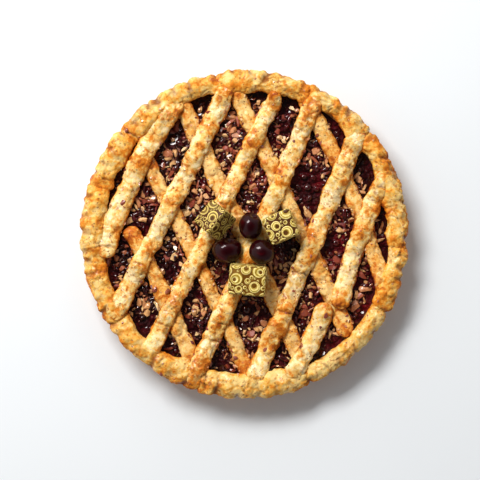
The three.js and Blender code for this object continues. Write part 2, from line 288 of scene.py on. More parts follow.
class Shader:
    """Adds nodes to a material or a group, and links them by name."""

    def __init__(self, tree):
        self.tree = tree

    def put(self, socket, value):
        if isinstance(value, bpy.types.NodeSocket):
            self.tree.links.new(value, socket)
        else:
            socket.default_value = value

    def add(self, kind, values=None, output=0, **settings):
        """Adds a node with its settings, fills its inputs and gives one of its outputs."""
        node = self.tree.nodes.new(kind)
        for key, value in settings.items():
            setattr(node, key, value)
        for key, value in (values or {}).items():
            self.put(node.inputs[key], value)
        return node.outputs[output]

    def paint(self, **values):
        """Sets or links sockets of the Principled shader, named with _ for each space."""
        surface = self.tree.nodes["Principled BSDF"]
        for name, value in values.items():
            self.put(surface.inputs[name.replace("_", " ")], value)

    def noise(self, vector, scale, detail=4.0, roughness=0.55, distortion=0.0):
        return self.add("ShaderNodeTexNoise", {
            "Vector": vector, "Scale": scale, "Detail": detail, "Roughness": roughness,
            "Distortion": distortion,
        })

    def voronoi(self, vector, scale, feature="F1"):
        values = {"Vector": vector, "Scale": scale}
        return self.add("ShaderNodeTexVoronoi", values, "Distance", feature=feature)

    def range(self, value, low, high, to_low=0.0, to_high=1.0):
        values = {"Value": value, "From Min": low, "From Max": high, "To Min": to_low, "To Max": to_high}
        return self.add("ShaderNodeMapRange", values, "Result", clamp=True, interpolation_type="SMOOTHSTEP")

    def math(self, operation, a, b, clamp=False):
        return self.add("ShaderNodeMath", {0: a, 1: b}, operation=operation, use_clamp=clamp)

    def times(self, a, b):
        return self.math("MULTIPLY", a, b)

    def total(self, *values):
        result = values[0]
        for value in values[1:]:
            result = self.math("ADD", result, value)
        return result

    def mix(self, share, a, b):
        return self.add("ShaderNodeMix", {"Factor": share, "A": a, "B": b}, "Result", data_type="RGBA")

    def shade(self, value, tone, *steps):
        """A colour that turns into each step's colour over that step's range of the value."""
        for low, high, next_tone in steps:
            tone = self.mix(self.range(value, low, high), tone, next_tone)
        return tone

    def attribute(self, name):
        return self.add("ShaderNodeAttribute", output="Fac", attribute_name=name)

    def object_point(self):
        return self.add("ShaderNodeTexCoord", output="Object")

    def height_of(self, point):
        return self.add("ShaderNodeSeparateXYZ", {0: point}, "Z")

    def warped(self, point, scale, amount):
        """The point, pushed about by a noise of its own."""
        push = self.add("ShaderNodeTexNoise", {"Vector": point, "Scale": scale}, "Color")
        values = {0: push, 1: (amount,) * 3, 2: point}
        return self.add("ShaderNodeVectorMath", values, operation="MULTIPLY_ADD")

    def bump(self, height, strength, distance):
        return self.add("ShaderNodeBump", {"Height": height, "Strength": strength, "Distance": distance})


def colour(red, green, blue):
    """A colour given as on a screen, from 0 to 255, as a linear colour."""
    def linear(channel):
        share = channel / 255
        return share / 12.92 if share <= 0.04045 else ((share + 0.055) / 1.055) ** 2.4
    return (linear(red), linear(green), linear(blue), 1.0)


def new_material(name):
    """A material with a Principled shader, and what adds its nodes."""
    material = bpy.data.materials.new(name)
    material.use_nodes = True
    return material, Shader(material.node_tree)


def dough_grain_group():
    """Ground nuts and flour in baked dough: specks, nut flecks, mottling, fine cracks and a relief."""
    tree = bpy.data.node_groups.new("dough_grain", "ShaderNodeTree")
    tree.interface.new_socket("Crackle", in_out="INPUT", socket_type="NodeSocketFloat")
    names = ("Specks", "Flecks", "Mottle", "Crumb", "Cracks", "Relief")
    for name in names:
        tree.interface.new_socket(name, in_out="OUTPUT", socket_type="NodeSocketFloat")
    shader = Shader(tree)
    crackle = shader.add("NodeGroupInput", output="Crackle")
    point = shader.object_point()
    bent = shader.warped(point, 420.0, 0.0022)

    sparse = shader.range(shader.noise(point, 150.0, 2.0), 0.46, 0.6)
    specks = shader.times(shader.range(shader.voronoi(bent, 330.0), 0.3, 0.16), sparse)
    few = shader.range(shader.noise(point, 85.0, 2.0), 0.42, 0.56)
    flecks = shader.times(shader.range(shader.noise(bent, 300.0, 2.0, 0.5), 0.6, 0.66), few)
    mottle = shader.noise(point, 190.0, 5.0, 0.62, 0.5)
    crumb = shader.noise(point, 520.0, 4.0, 0.68)

    edge = shader.voronoi(shader.warped(point, 160.0, 0.005), 210.0, "DISTANCE_TO_EDGE")
    where = shader.range(shader.noise(point, 85.0, 3.0, 0.6), 0.5, 0.64)
    cracks = shader.times(shader.range(edge, 0.07, 0.0), shader.math("MULTIPLY", where, crackle, clamp=True))

    relief = shader.total(shader.times(crumb, 0.5), shader.noise(point, 210.0, 3.0, 0.6))
    for groove, depth in ((cracks, 0.35), (specks, 0.2)):
        relief = shader.math("SUBTRACT", relief, shader.times(groove, depth))
    out = tree.nodes.new("NodeGroupOutput")
    for name, value in zip(names, (specks, flecks, mottle, crumb, cracks, relief)):
        shader.put(out.inputs[name], value)
    return tree


def dough_material(name, grain_tree, tones, crackle, browning, wash, stain):
    """Baked nut dough: pale where smooth, browner on crags, browner on its sides partly from the bake and
    partly as painted shade, darker in cracks as painted shade, with a sheen where washed with egg.

    Its tones are pale, golden, amber and brown. Browning is how much further the bake has gone, and
    stain how dark the jam has made it low down.
    """
    pale, golden, amber, brown = (colour(*tone) for tone in tones)
    material, shader = new_material(name)
    grain = material.node_tree.nodes.new("ShaderNodeGroup")
    grain.node_tree = grain_tree
    grain.inputs["Crackle"].default_value = crackle
    point = shader.object_point()
    level = shader.total(
        shader.attribute("bake"), shader.times(grain.outputs["Mottle"], 1.6),
        shader.times(shader.noise(point, 62.0, 3.0, 0.55), 1.4), shader.times(grain.outputs["Crumb"], 0.5),
        browning - 0.66,
    )
    tone = shader.shade(level, pale, (0.98, 1.26, golden), (1.24, 1.5, amber), (1.48, 1.88, brown))
    low = shader.range(shader.height_of(point), (JAM_TOP + 2.6) * MM, (JAM_TOP + 0.6) * MM)
    # The cracks and creases are darkened as painted shade; specks, flecks and the jam's stain are the
    # dough's own colour
    for mask, share, over in (
        (grain.outputs["Cracks"], 0.35, brown),
        (grain.outputs["Specks"], 0.75, colour(132, 66, 20)),
        (grain.outputs["Flecks"], 0.7, colour(176, 92, 30)),
        (shader.attribute("crease_shade"), 0.85, colour(122, 54, 10)),
        (low, stain, colour(78, 24, 12)),
    ):
        tone = shader.mix(shader.times(mask, share), tone, over)
    gloss = shader.range(shader.noise(point, 75.0, 4.0, 0.6), 0.46, 0.6)
    shader.paint(
        Base_Color=tone, Roughness=shader.range(gloss, 0.0, 1.0, 0.7, 0.46), Specular_IOR_Level=0.25,
        Coat_Weight=shader.times(gloss, wash), Coat_Roughness=0.28,
        Subsurface_Weight=0.12, Subsurface_Scale=0.003, Subsurface_Radius=(1.0, 0.45, 0.15),
        Normal=shader.bump(grain.outputs["Relief"], 0.75, 0.001),
    )
    return material


def jam_material():
    """Set bramble jam with its seeds: nearly black where deep, crimson where thin, wet all over."""
    material, shader = new_material("wet_jam")
    point = shader.object_point()
    deep, thin = shader.noise(point, 110.0, 4.0, 0.6), shader.noise(point, 17.0, 2.0, 0.5)
    share = shader.total(shader.times(deep, 0.6), shader.times(thin, 0.6))
    tone = shader.shade(
        share, colour(44, 1, 4), (0.5, 0.66, colour(68, 2, 8)), (0.64, 0.78, colour(104, 4, 13)),
    )
    parts = []
    for place, scale, height in ((shader.warped(point, 130.0, 0.003), 235.0, 1.3), (point, 430.0, 0.32)):
        away = shader.voronoi(place, scale)
        parts.append(shader.times(shader.math("SUBTRACT", 0.4, shader.times(away, away)), height))
    parts.append(shader.times(shader.noise(point, 300.0, 2.0, 0.5), 0.3))
    rough_share = shader.math("SUBTRACT", 1.0, shader.times(shader.attribute("calm"), 0.93))
    shader.paint(
        Base_Color=tone, Roughness=0.4, Specular_IOR_Level=0.1,
        Coat_Weight=1.0, Coat_Roughness=0.11, Coat_IOR=1.54,
        Normal=shader.bump(shader.times(shader.total(*parts), rough_share), 1.0, 0.0034),
    )
    return material


def nut_flesh_material():
    """Cut faces of chopped nuts, cream to caramel from one to the next, stained by the jam they lie in."""
    material, shader = new_material("nut_flesh")
    point = shader.object_point()
    tone = shader.shade(
        shader.attribute("tone"), colour(246, 212, 152), (0.0, 0.3, colour(230, 176, 114)),
        (0.3, 0.56, colour(204, 134, 84)), (0.54, 0.78, colour(156, 68, 46)),
        (0.78, 1.0, colour(104, 22, 26)),
    )
    grain = shader.noise(point, 620.0, 4.0, 0.65)
    tone = shader.mix(shader.times(shader.range(grain, 0.48, 0.7), 0.7), tone, colour(140, 74, 38))
    low = shader.range(shader.height_of(point), (JAM_TOP + 1.9) * MM, (JAM_TOP - 0.2) * MM)
    smear = shader.range(shader.total(shader.noise(point, 260.0, 3.0), shader.times(low, 0.45)), 0.56, 0.84)
    tone = shader.mix(shader.times(smear, 0.85), tone, colour(78, 8, 16))
    shader.paint(Base_Color=tone, Roughness=0.42, Coat_Weight=0.85, Coat_Roughness=0.14,
                 Normal=shader.bump(grain, 0.45, 0.0007))
    return material


def nut_skin_material():
    """Brown papery skin on the outside of a nut."""
    material, shader = new_material("nut_skin")
    veins = shader.noise(shader.object_point(), 420.0, 4.0, 0.7, 1.2)
    tone = shader.shade(veins, colour(84, 28, 14), (0.35, 0.7, colour(168, 82, 38)))
    shader.paint(Base_Color=tone, Roughness=0.4, Coat_Weight=0.6, Coat_Roughness=0.14,
                 Normal=shader.bump(veins, 0.5, 0.0006))
    return material


def chocolate_material(name, dark, light):
    material, shader = new_material(name)
    point = shader.object_point()
    bloom = shader.noise(point, 130.0, 4.0, 0.6)
    shader.paint(
        Base_Color=shader.shade(bloom, colour(*dark), (0.4, 0.75, colour(*light))),
        Roughness=shader.range(bloom, 0.3, 0.7, 0.4, 0.56), Specular_IOR_Level=0.15,
        Coat_Weight=0.1, Coat_Roughness=0.3,
        Normal=shader.bump(shader.noise(point, 500.0, 3.0), 0.15, 0.0004),
    )
    return material


def print_material(name, worn, bright):
    """Cocoa-butter print, thin and slightly worn."""
    material, shader = new_material(name)
    wear = shader.noise(shader.object_point(), 800.0, 4.0, 0.7)
    shader.paint(
        Base_Color=shader.shade(wear, colour(*worn), (0.36, 0.6, colour(*bright))),
        Roughness=shader.range(wear, 0.3, 0.7, 0.5, 0.34), Specular_IOR_Level=0.25,
        Coat_Weight=0.1, Coat_Roughness=0.3, Normal=shader.bump(wear, 0.2, 0.0002),
    )
    return material


def cherry_material():
    """Glazed dark cherry skin, black red with warmer patches."""
    material, shader = new_material("cherry_skin")
    point = shader.object_point()
    patch = shader.noise(point, 90.0, 3.0, 0.5, 0.6)
    pores = shader.range(shader.voronoi(point, 900.0), 0.0, 0.3, 0.0, 0.3)
    ripple = shader.noise(point, 160.0, 2.0)
    shader.paint(
        Base_Color=shader.shade(patch, colour(32, 1, 4), (0.5, 0.8, colour(74, 3, 10))),
        Roughness=0.36, Specular_IOR_Level=0.1, Specular_Tint=(1.0, 0.5, 0.6, 1.0),
        Coat_Weight=0.58, Coat_Roughness=0.1, Coat_IOR=1.42,
        Normal=shader.bump(shader.total(pores, ripple), 0.12, 0.0008),
    )
    return material


# Routes of the dough rolls


def plan_point(roll, share):
    start, end = Vector(roll["from"]), Vector(roll["to"])
    along = end - start
    right = Vector((along.y, -along.x)).normalized()
    return start + along * share + right * (roll["bow"] * 4 * share * (1 - share))


def plan_tree(rolls):
    """A search tree of points along the centre lines of rolls."""
    tree = KDTree(100 * len(rolls))
    for number, roll in enumerate(rolls):
        for step in range(100):
            point = plan_point(roll, step / 100)
            tree.insert((point.x, point.y, 0), 100 * number + step)
    tree.balance()
    return tree


UNDER_TREE = plan_tree(UNDER_ROLLS)
ROLL_TREES = [(roll, plan_tree([roll])) for roll in UNDER_ROLLS + OVER_ROLLS]
REST_HEIGHT = FLAT_BELOW * ROLL_HEIGHT / 2


def distance_to(tree, x, y):
    return tree.find((x, y, 0))[2]


def under_height(x, y):
    edge = smoothstep(*EDGE_REACH, math.hypot(x, y))
    return JAM_TOP + GAP + REST_HEIGHT + UNDER_EDGE_LIFT * edge


def crossing_share(x, y):
    return 1 - smoothstep(*CROSSING_REACH, distance_to(UNDER_TREE, x, y))


def over_height(x, y):
    edge = OVER_EDGE_LIFT * smoothstep(*EDGE_REACH, math.hypot(x, y))
    lift = max(CROSSING_LIFT * crossing_share(x, y), edge)
    return JAM_TOP + GAP + REST_HEIGHT + OVER_CLEARANCE + lift


def under_top(x, y):
    """Height of the top of the lower rolls at a plan point, or 0 away from them."""
    top = 0.0
    for roll, tree in ROLL_TREES[:len(UNDER_ROLLS)]:
        share = distance_to(tree, x, y) / (roll["width"] / 2)
        if share < 1:
            top = max(top, under_height(x, y) + ROLL_HEIGHT / 2 * math.sqrt(1 - share * share))
    return top


class LatticeRoute:
    """The centre line of a lattice roll."""

    def __init__(self, roll, height_at):
        self.roll = roll
        self.height_at = height_at
        self.length = (Vector(roll["to"]) - Vector(roll["from"])).length

    def at(self, share):
        point = plan_point(self.roll, share)
        return Vector((point.x, point.y, self.height_at(point.x, point.y)))


class RimRoute:
    """The centre line of a rim roll, from one joint to the next."""

    def __init__(self, start, end):
        overlap = math.degrees(RIM_OVERLAP / RIM_RADIUS)
        self.start, self.end = math.radians(start - overlap), math.radians(end + overlap)
        self.length = (self.end - self.start) * RIM_RADIUS

    def at(self, share):
        angle = self.start + (self.end - self.start) * share
        height = CASE_HEIGHT + GAP + FLAT_BELOW * RIM_HEIGHT / 2
        return Vector((RIM_RADIUS * math.cos(angle), RIM_RADIUS * math.sin(angle), height))


def side_at(route, share):
    """Level direction across a route, to the right of the way it runs."""
    ahead = route.at(min(share + 0.01, 1.0)) - route.at(max(share - 0.01, 0.0))
    return Vector((ahead.x, ahead.y, 0)).normalized().cross(UP)


def rim_slimming(point):
    """How much the rim's inner side draws back at a plan point, in mm."""
    angle = math.degrees(math.atan2(point.y, point.x))
    return max(amount * smoothstep(spread, 0, abs(angle - middle)) for middle, spread, amount in RIM_SLIM)


# Dough

# Kinds of roll: what its seeds start from, mm between its short cracks and how rough it is
ROLL_KINDS = {"under_roll": (0, 80, 0.9), "over_roll": (20, 50, 1.0), "rim_roll": (40, 34, 1.1)}

# Soft lumps and crags: height in mm and waves a mm
SOFT_LUMPS = ((1.2, 0.15), (1.1, 0.075))
CRAG_HEIGHT, CRAG_WAVES = 0.5, 0.38

# Clods, in mm: how far apart they lie, how far their edges wander and how deep the grooves between them are
CLOD_SIZE = 7.5
CLOD_WANDER = 1.6
CLOD_GROOVE = 0.7

# How much further each thing browns the dough, and the side that the main light is on. The shade share is
# painted shade on the side turned away from the main light, and the groove share is painted shade in the
# grooves between clods
BAKE = {
    "top": 0.04, "crossing": 0.14, "relief": 0.1, "end": 0.2, "shade": 0.1, "groove": 0.16, "front": -0.14,
}
LIT_SIDE = Vector((-0.55, 0.83, 0))

# A groove over a roll: its place along it and slant in mm, its facing and spread round it in radians,
# and its depth and half width in mm
Groove = namedtuple("Groove", "place slant facing spread depth half_width")


def crossing_cracks(route, width):
    """Grooves where the photograph shows a crack right across this roll."""
    grooves = []
    for pixel in CRACK_PIXELS:
        target = Vector((*from_pixel(*pixel), 0))
        away, share = min(((route.at(step / 60) - target).xy.length, step / 60) for step in range(61))
        if away < width / 2:
            grooves.append(Groove(
                share * route.length, slant=1.5, facing=math.pi / 2, spread=1.5, depth=1.3, half_width=0.8,
            ))
    return grooves


def short_cracks(route, rng, spacing):
    count = int(route.length / spacing + rng.random())
    return [
        Groove(
            rng.uniform(0.08, 0.92) * route.length, slant=rng.uniform(-2, 2),
            facing=rng.uniform(0.2, 0.8) * math.pi, spread=0.9, depth=rng.uniform(0.6, 1.3),
            half_width=rng.uniform(0.5, 0.9),
        )
        for _ in range(count)
    ]


def knuckles(route, rng):
    """Grooves that part the rim into the lumps its outer edge shows."""
    grooves = []
    place = rng.uniform(2, 9)
    while place < route.length - 2:
        grooves.append(Groove(
            place, slant=rng.uniform(-4, 4), facing=rng.uniform(-0.1, 0.2) * math.pi,
            spread=rng.uniform(1.2, 2.0), depth=rng.uniform(0.8, 2.0), half_width=rng.uniform(1.4, 2.6),
        ))
        place += rng.uniform(8, 18)
    return grooves


def groove_depth(grooves, place, angle, point):
    """How deep the grooves are at a place along a roll and an angle round it, in mm."""
    deepest = 0.0
    for middle, slant, facing, spread, depth, half_width in grooves:
        away = place - middle - slant * math.cos(angle)
        turn = abs(angle - facing)
        if abs(away) < 3 * half_width + 1.5 and turn < spread:
            away += 1.4 * noise.noise(point * 0.35)
            fade = smoothstep(spread, 0.45 * spread, turn)
            deepest = max(deepest, depth * fade * math.exp(-(away / half_width) ** 2))
    return deepest


def clod_edge(point, size):
    """1 in the groove between two clods of dough, falling to 0 on the clods."""
    warped = point + CLOD_WANDER * noise.noise_vector(point * 0.22)
    nearest = noise.voronoi(warped / size)[0]
    return smoothstep(0.3, 0.0, nearest[1] - nearest[0])


def dough_relief(point, roughness, coarseness=1.0):
    """How far baked dough stands out at a point, in mm, and how far it lies in a groove, from 0 to 1."""
    lumps = sum(height * noise.noise(point * (waves / coarseness)) for height, waves in SOFT_LUMPS)
    crags = CRAG_HEIGHT * noise.fractal(point * (CRAG_WAVES / coarseness), 1.0, 2.1, 3)
    cobbled = smoothstep(0.1, 0.55, noise.noise(point * 0.07 + Vector((31, 7, 3))) + 0.25 * roughness)
    groove = clod_edge(point, CLOD_SIZE * coarseness) * cobbled
    return roughness * coarseness * (lumps + crags) - CLOD_GROOVE * groove, groove


def shape_roll(route, width, height, sides, seed, grooves, roughness, coarseness=1.0, pressed=False,
               side_bake=0.5):
    """A sphere's rings strung along a route: round above, flat below, with crags and cracks."""
    rings = round(route.length / RING_STEP)
    bm = bmesh.new()
    bmesh.ops.create_uvsphere(bm, u_segments=sides, v_segments=rings, radius=1.0)
    bake = bm.verts.layers.float.new("bake")
    crease_shade = bm.verts.layers.float.new("crease_shade")
    own_place = Vector((0, 0, 17.0 * seed))
    stations = {}
    for vert in bm.verts:
        key = round(math.acos(max(-1.0, min(1.0, vert.co.z))) / math.pi * rings)
        if key not in stations:
            share = key / rings
            centre = route.at(share)
            tip = min(share, 1 - share) * route.length
            narrowing = math.sqrt(1 - (1 - min(1.0, tip / END_TAPER)) ** 2)
            crossing = crossing_share(centre.x, centre.y) if pressed else 0.0
            slim = rim_slimming(centre) if isinstance(route, RimRoute) else 0.0
            stations[key] = (share, centre, side_at(route, share), narrowing, crossing, tip, slim)
        share, centre, side, narrowing, crossing, tip, slim = stations[key]
        angle = math.atan2(vert.co.y, vert.co.x)
        across, rise = math.cos(angle) * narrowing, math.sin(angle) * narrowing
        swell = 1 + ROLL_LUMPS * lump(centre.x, centre.y)
        swell += ROLL_LUMPS * lump(centre.y, centre.x, ROLL_END * across)
        flatter = 1 - PRESSED_END * smoothstep(16, 3, tip) * (centre.xy.length > EDGE_REACH[0])
        half_width, half_height = swell * width / 2, height / 2
        point = centre + side * (across * half_width + slim * smoothstep(0.6, -1.0, across))
        point += UP * (max(rise, -FLAT_BELOW) * half_height * (flatter if rise > 0 else 1))
        outward = (side * (across / half_width) + UP * (rise / half_height)).normalized()
        relief, groove = dough_relief(point + own_place, roughness, coarseness)
        depth = groove_depth(grooves, share * route.length, angle, point)
        low = smoothstep(-0.2, -0.7, rise)
        point += outward * (relief * (1 - low) - depth)
        if pressed and crossing > 0.2 and rise < 0.3:
            point.z = max(point.z, under_top(point.x, point.y) - 0.2)
        vert.co = point
        hump = smoothstep(0.35, 0.95, rise)
        causes = {
            "top": hump, "crossing": crossing * hump, "relief": relief, "end": smoothstep(14, 2, tip),
            # shade and groove are painted shade: browner on the side away from the main light and in the
            # grooves
            "shade": 0.5 - 0.5 * (side * across).dot(LIT_SIDE), "groove": groove,
            "front": smoothstep(*PALE_FRONT, point.y - 0.5 * point.x),
        }
        # Browner lower down the roll, partly baked colour and partly painted shade on its underside
        vert[bake] = side_bake * smoothstep(0.72, -0.15, rise)
        vert[bake] += sum(BAKE[cause] * share for cause, share in causes.items())
        # Painted shade in the cracks and grooves, darker where they run deeper
        vert[crease_shade] = min(1.0, 0.6 * depth + 0.3 * groove)
    bm.normal_update()
    return bm


def build_rolls(dough, lower_dough, rim_dough):
    """Builds every roll, and gives search trees of their surfaces for what is pressed into them."""
    surfaces = []

    def build(kind, number, route, width, height, sides, material, **look):
        first_seed, spacing, roughness = ROLL_KINDS[kind]
        rng = random.Random(first_seed + number)
        grooves = knuckles(route, rng) if kind == "rim_roll" else []
        grooves += short_cracks(route, rng, spacing)
        if kind != "under_roll":
            grooves += crossing_cracks(route, width)
        bm = shape_roll(route, width, height, sides, first_seed + number, grooves, roughness, **look)
        surfaces.append(BVHTree.FromBMesh(bm))
        make_piece(f"{kind}_{number}_dough", bm, [material], [f"{kind}_{number}"])

    for number, roll in enumerate(UNDER_ROLLS, 1):
        route = LatticeRoute(roll, under_height)
        build("under_roll", number, route, roll["width"], ROLL_HEIGHT, ROLL_SIDES, lower_dough)
    for number, roll in enumerate(OVER_ROLLS, 1):
        route = LatticeRoute(roll, over_height)
        build("over_roll", number, route, roll["width"], ROLL_HEIGHT, ROLL_SIDES, dough, pressed=True)
    for number, joints in enumerate(zip(RIM_JOINTS, RIM_JOINTS[1:] + (RIM_JOINTS[0] + 360,)), 1):
        route = RimRoute(*joints)
        # The rim's lower sides get less of the browning and painted shade
        build("rim_roll", number, route, RIM_WIDTH, RIM_HEIGHT, RIM_SIDES, rim_dough, coarseness=1.1,
              side_bake=0.26)
    return surfaces


def build_case(dough):
    """The case: a profile spun round, with crags on its outer wall."""
    profile = [
        (0.0, 0.0),
        (CASE_FOOT_RADIUS - 2, 0.0),
        (CASE_FOOT_RADIUS, 1.5),
        (CASE_LIP_RADIUS, CASE_HEIGHT),
        (CASE_WALL_INSIDE, CASE_HEIGHT),
        (CASE_FLOOR_INSIDE, CASE_FLOOR),
        (0.0, CASE_FLOOR),
    ]
    bm = bmesh.new()
    verts = [bm.verts.new((radius, 0, height)) for radius, height in profile]
    edges = [bm.edges.new(pair) for pair in zip(verts, verts[1:])]
    outer_wall, lip = edges[2:4]
    bmesh.ops.subdivide_edges(bm, edges=[outer_wall], cuts=CASE_WALL_CUTS)
    bmesh.ops.subdivide_edges(bm, edges=[lip], cuts=CASE_LIP_CUTS)
    bmesh.ops.spin(
        bm, geom=bm.verts[:] + bm.edges[:], cent=(0, 0, 0), axis=(0, 0, 1), angle=2 * math.pi,
        steps=CASE_STEPS, use_merge=True,
    )
    bmesh.ops.remove_doubles(bm, verts=bm.verts, dist=0.001)
    bmesh.ops.recalc_face_normals(bm, faces=bm.faces)
    bake = bm.verts.layers.float.new("bake")
    crease_shade = bm.verts.layers.float.new("crease_shade")
    for vert in bm.verts:
        radius = math.hypot(vert.co.x, vert.co.y)
        if radius > CASE_WALL_INSIDE + 2 and vert.co.z > 0.5:
            relief = dough_relief(vert.co, 1.0)[0] + CASE_LUMPS * radius * lump(*vert.co)
            vert.co += Vector((vert.co.x, vert.co.y, 0)) * (relief / radius)
            vert[bake] = 0.35 + 0.4 * relief
        vert[crease_shade] = 0.0
    make_piece("pastry_case_dough", bm, [dough], ["pastry_case"])


# Jam and nuts

# Smooth tilted patches of jam where the photograph shows a glare: pixel and reach in mm
GLARES = (
    (173, 140, 4.0), (200, 114, 1.4), (290, 112, 1.0), (322, 353, 2.4), (363, 313, 1.0), (362, 161, 1.5),
)


def glare_slope(x, y):
    """Slope of the jam that mirrors the main light to a viewer above, at a plan point."""
    place = Vector((x, y, JAM_TOP)) * MM
    lamp = KEY_DIRECTION.normalized() * KEY_DISTANCE - place
    viewer = UP * CAMERA_DISTANCE - place
    halfway = lamp.normalized() + viewer.normalized()
    return halfway.xy / halfway.z


GLARE_PATCHES = [
    (Vector(from_pixel(px, py)), glare_slope(*from_pixel(px, py)), reach) for px, py, reach in GLARES
]


def jam_relief(x, y):
    """Height of the jam's surface above its level, in mm."""
    point = Vector((x, y, 0.0))
    height = 0.9 * noise.noise(point * 0.09) + 0.4 * noise.fractal(point * 0.24, 0.9, 2.0, 3) - 0.2
    for middle, slope, reach in GLARE_PATCHES:
        offset = Vector((x, y)) - middle
        if offset.length < 2 * reach:
            tilt = -offset.dot(slope)
            height *= 1 - 0.95 * smoothstep(1.6 * reach, 0.9 * reach, offset.length)
            height += tilt * smoothstep(1.8 * reach, reach, offset.length)
    return height


def calm_share(x, y):
    """1 where the jam has a glare and no ripples."""
    return max(smoothstep(1.5 * reach, 0.8 * reach, math.dist((x, y), middle))
               for middle, _, reach in GLARE_PATCHES)


def build_jam(jam):
    """A square grid rounded into a disc, with its edge drawn down to the case's floor."""
    bm = bmesh.new()
    calm = bm.verts.layers.float.new("calm")
    bmesh.ops.create_grid(bm, x_segments=JAM_CELLS, y_segments=JAM_CELLS, size=1.0)
    radius = CASE_WALL_INSIDE - 0.6
    for vert in bm.verts:
        x, y = vert.co.x, vert.co.y
        vert.co.x = radius * x * math.sqrt(1 - y * y / 2)
        vert.co.y = radius * y * math.sqrt(1 - x * x / 2)
        vert.co.z = JAM_TOP + jam_relief(vert.co.x, vert.co.y)
        vert[calm] = calm_share(vert.co.x, vert.co.y)
    rim = [edge for edge in bm.edges if edge.is_boundary]
    wall = bmesh.ops.extrude_edge_only(bm, edges=rim)["geom"]
    for vert in (item for item in wall if isinstance(item, bmesh.types.BMVert)):
        shrink = (CASE_FLOOR_INSIDE - 0.6) / math.hypot(vert.co.x, vert.co.y)
        vert.co = Vector((vert.co.x * shrink, vert.co.y * shrink, CASE_FLOOR + GAP))
    bottom = [edge for edge in bm.edges if edge.is_boundary]
    bmesh.ops.contextual_create(bm, geom=bottom)
    bmesh.ops.recalc_face_normals(bm, faces=bm.faces)
    make_piece("jam_surface", bm, [jam], ["jam_filling"])


def sunflower_random(seed):
    """Seeded random numbers from 0 to 1, the same ones as the solid's nuts have."""
    state = seed
    while True:
        state = (state * 1664525 + 1013904223) % 4294967296
        yield state / 4294967296


def open_space(x, y):
    """How far a plan point is from the nearest dough."""
    room = RIM_RADIUS - RIM_WIDTH * (1 + 2 * ROLL_LUMPS) / 2 - math.hypot(x, y)
    for roll, tree in ROLL_TREES:
        room = min(room, distance_to(tree, x, y) - roll["width"] * (1 + 2 * ROLL_LUMPS) / 2)
    return room


def spiral_sites(count, spread):
    golden_angle = math.pi * (3 - math.sqrt(5))
    for i in range(count):
        radius = spread * math.sqrt((i + 0.5) / count)
        yield radius * math.cos(i * golden_angle), radius * math.sin(i * golden_angle)


def large_nut_places():
    """Plan point and radius of each nut that the solid has."""
    draws = sunflower_random(NUT_SEED)
    sites = [(next(draws), x, y, open_space(x, y)) for x, y in spiral_sites(NUT_SITES, NUT_SPREAD)]
    roomy = sorted(site for site in sites if site[3] > NUT_SMALLEST * NUT_REACH + GAP)
    places = []
    for i, (_, x, y, room) in enumerate(roomy[:NUT_COUNT]):
        wanted = NUT_LARGEST + (NUT_SMALLEST - NUT_LARGEST) * i / NUT_COUNT
        places.append((x, y, min(wanted, (room - GAP) / NUT_REACH)))
    return places


def random_direction(rng):
    return Vector((rng.gauss(0, 1), rng.gauss(0, 1), rng.gauss(0, 1))).normalized()


def nut_heap():
    """An empty bmesh for nuts, each with a tone of its own."""
    bm = bmesh.new()
    bm.verts.layers.float.new("tone")
    return bm


def nut_shard(rng, detail, cuts):
    """A broken piece of nut: a lumpy ball with flat cuts, and its skin left on one side."""
    bm = nut_heap()
    bmesh.ops.create_icosphere(bm, subdivisions=detail, radius=1.0)
    own_place = 9 * random_direction(rng)
    for vert in bm.verts:
        vert.co *= 1 + 0.3 * noise.noise(1.4 * vert.co + own_place)
    for _ in range(cuts):
        normal = random_direction(rng)
        cut_away(bm, normal * rng.uniform(0.35, 0.7), normal)
        bmesh.ops.holes_fill(bm, edges=[edge for edge in bm.edges if edge.is_boundary], sides=0)
    bmesh.ops.remove_doubles(bm, verts=bm.verts, dist=0.1)
    bmesh.ops.triangulate(bm, faces=[face for face in bm.faces if len(face.verts) > 4])
    bmesh.ops.recalc_face_normals(bm, faces=bm.faces)
    for edge in bm.edges:
        edge.smooth = cuts == 0 or (len(edge.link_faces) == 2 and edge.calc_face_angle() < 0.5)
    skin_side = random_direction(rng)
    for face in bm.faces:
        face.material_index = int(face.normal.dot(skin_side) > 0.76)
    return mesh_from(bm, "shard")


def scatter(bm, shard, place, scale, rng, facing=UP, tone=None):
    """Adds a turned and scaled copy of a shard to a bmesh, with a tone of its own."""
    copy = shard.copy()
    turned = Matrix.Rotation(rng.uniform(0, 2 * math.pi), 4, random_direction(rng))
    spun = Matrix.Rotation(rng.uniform(0, 2 * math.pi), 4, "Z")
    laid = UP.rotation_difference(facing).to_matrix().to_4x4()
    copy.transform(Matrix.Translation(place) @ laid @ spun @ Matrix.Diagonal((*scale, 1)) @ turned)
    own_tone = rng.random() if tone is None else tone
    copy.attributes["tone"].data.foreach_set("value", [own_tone] * len(copy.vertices))
    bm.from_mesh(copy)
    bpy.data.meshes.remove(copy)


def bare_spot(x, y):
    """1 where the photograph shows clear jam."""
    return max(1 - smoothstep(0.6 * reach * PIXEL, reach * PIXEL, math.dist((x, y), from_pixel(px, py)))
               for px, py, reach in BARE_SPOTS)


def nut_density(x, y):
    """Share of the jam that nuts cover."""
    spots = noise.noise(Vector((x, y, 5.0)) * 0.045) + 0.5 * noise.noise(Vector((x, y, 9.0)) * 0.11)
    return min(1.0, max(0.2, 0.95 - 1.2 * spots)) * (1 - 0.95 * bare_spot(x, y))


